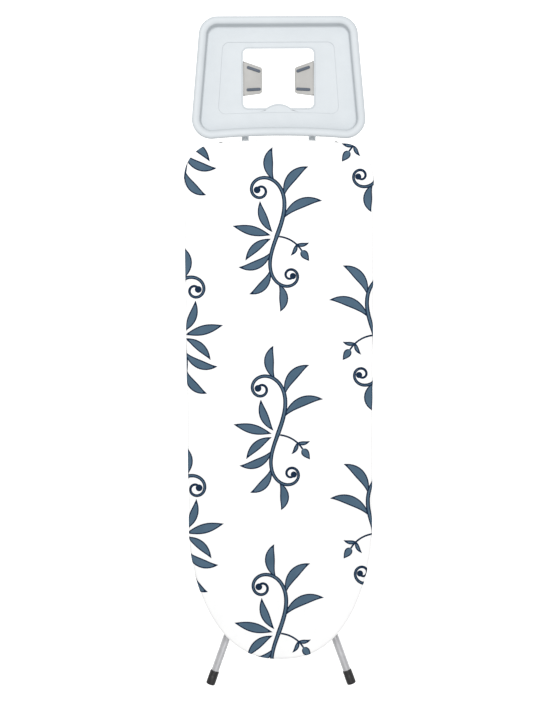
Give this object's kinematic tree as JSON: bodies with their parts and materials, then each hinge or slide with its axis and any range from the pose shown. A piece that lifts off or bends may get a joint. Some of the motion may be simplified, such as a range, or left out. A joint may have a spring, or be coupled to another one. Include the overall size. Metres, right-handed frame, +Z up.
{
  "type": "ironing board",
  "caption": "Folding ironing board with a padded cotton cover, a moulded iron rest and a scissor frame of tube legs, stored folded.",
  "frame": {"origin": "on the floor, under the middle of the whole length, when the board lies folded on its four feet", "axes": "+Y from the nose towards the iron rest, +Z up out of the ironing surface, +X to the right when looking along +Y"},
  "size_m": [0.45, 1.596, 0.062],
  "materials": {
    "cotton_cover": "matte",
    "foam": "matte",
    "painted_steel": "satin",
    "leg_paint": "satin",
    "zinc_steel": "satin",
    "tray_plastic": "satin",
    "tab_rubber": "matte",
    "strip_rubber": "matte",
    "black_plastic": "matte",
    "nylon": "satin"
  },
  "bodies": {
    "board": {"cover": "cotton_cover", "foam_pad": "foam", "mesh_top": "painted_steel", "rim_nose": "painted_steel", "rim_side_left": "painted_steel", "rim_side_right": "painted_steel", "rim_tail": "painted_steel", "cross_rib_1": "painted_steel", "cross_rib_2": "painted_steel", "cross_rib_3": "painted_steel", "cross_rib_4": "painted_steel", "cross_rib_5": "painted_steel", "cross_rib_6": "painted_steel", "guide_rail_left": "zinc_steel", "guide_rail_right": "zinc_steel", "height_rack": "zinc_steel", "frame_rivets": "zinc_steel", "hinge_bracket_left": "zinc_steel", "hinge_bracket_right": "zinc_steel", "hinge_pin_left": "zinc_steel", "hinge_pin_right": "zinc_steel", "leg_clip_left": "nylon", "leg_clip_right": "nylon", "iron_tray": "tray_plastic", "rest_tab_left": "tab_rubber", "rest_tab_right": "tab_rubber", "grip_strips": "strip_rubber", "rest_arm_left": "zinc_steel", "rest_arm_right": "zinc_steel", "arm_clamp_left": "zinc_steel", "arm_clamp_right": "zinc_steel", "clamp_screws": "zinc_steel", "tray_screws": "zinc_steel"},
    "outer_legs": {"outer_tube_left": "leg_paint", "outer_tube_right": "leg_paint", "outer_brace": "leg_paint", "outer_ear_left": "leg_paint", "outer_ear_right": "leg_paint", "outer_foot_left": "black_plastic", "outer_foot_right": "black_plastic", "pivot_bolts": "zinc_steel", "pivot_nuts": "zinc_steel", "outer_plugs": "black_plastic"},
    "inner_legs": {"inner_tube_left": "leg_paint", "inner_tube_right": "leg_paint", "inner_brace_top": "leg_paint", "inner_brace_bottom": "leg_paint", "inner_ear_left": "leg_paint", "inner_ear_right": "leg_paint", "inner_foot_left": "black_plastic", "inner_foot_right": "black_plastic", "pivot_spacers": "nylon", "inner_plugs": "black_plastic"},
    "slide_carriage": {"slide_shoe_left": "nylon", "slide_shoe_right": "nylon", "lever_spring": "zinc_steel"},
    "height_lever": {"lever_bar": "zinc_steel", "lever_hook": "zinc_steel", "lever_grip": "black_plastic"}
  },
  "joints": [
    {"name": "leg_fold", "type": "hinge", "parent": "board", "child": "outer_legs", "pos_m": [0, 0.293, 0.026], "axis": [1, 0, 0], "range_deg": [0, 54]},
    {"name": "scissor_pivot", "type": "hinge", "parent": "outer_legs", "child": "inner_legs", "pos_m": [0, -0.1455, 0.011], "axis": [1, 0, 0], "range_deg": [-108, 0]},
    {"name": "slide_level", "type": "hinge", "parent": "inner_legs", "child": "slide_carriage", "pos_m": [0, -0.584, 0.026], "axis": [1, 0, 0], "range_deg": [0, 54]},
    {"name": "lever_release", "type": "hinge", "parent": "slide_carriage", "child": "height_lever", "pos_m": [0, -0.584, 0.026], "axis": [1, 0, 0], "range_deg": [0, 9], "stiffness_Nm_per_rad": 0.6, "springref_deg": -17.19}
  ],
  "couplings": [
    {"joint": "scissor_pivot", "follows": "leg_fold", "ratio": -2},
    {"joint": "slide_level", "follows": "leg_fold", "ratio": 1}
  ]
}
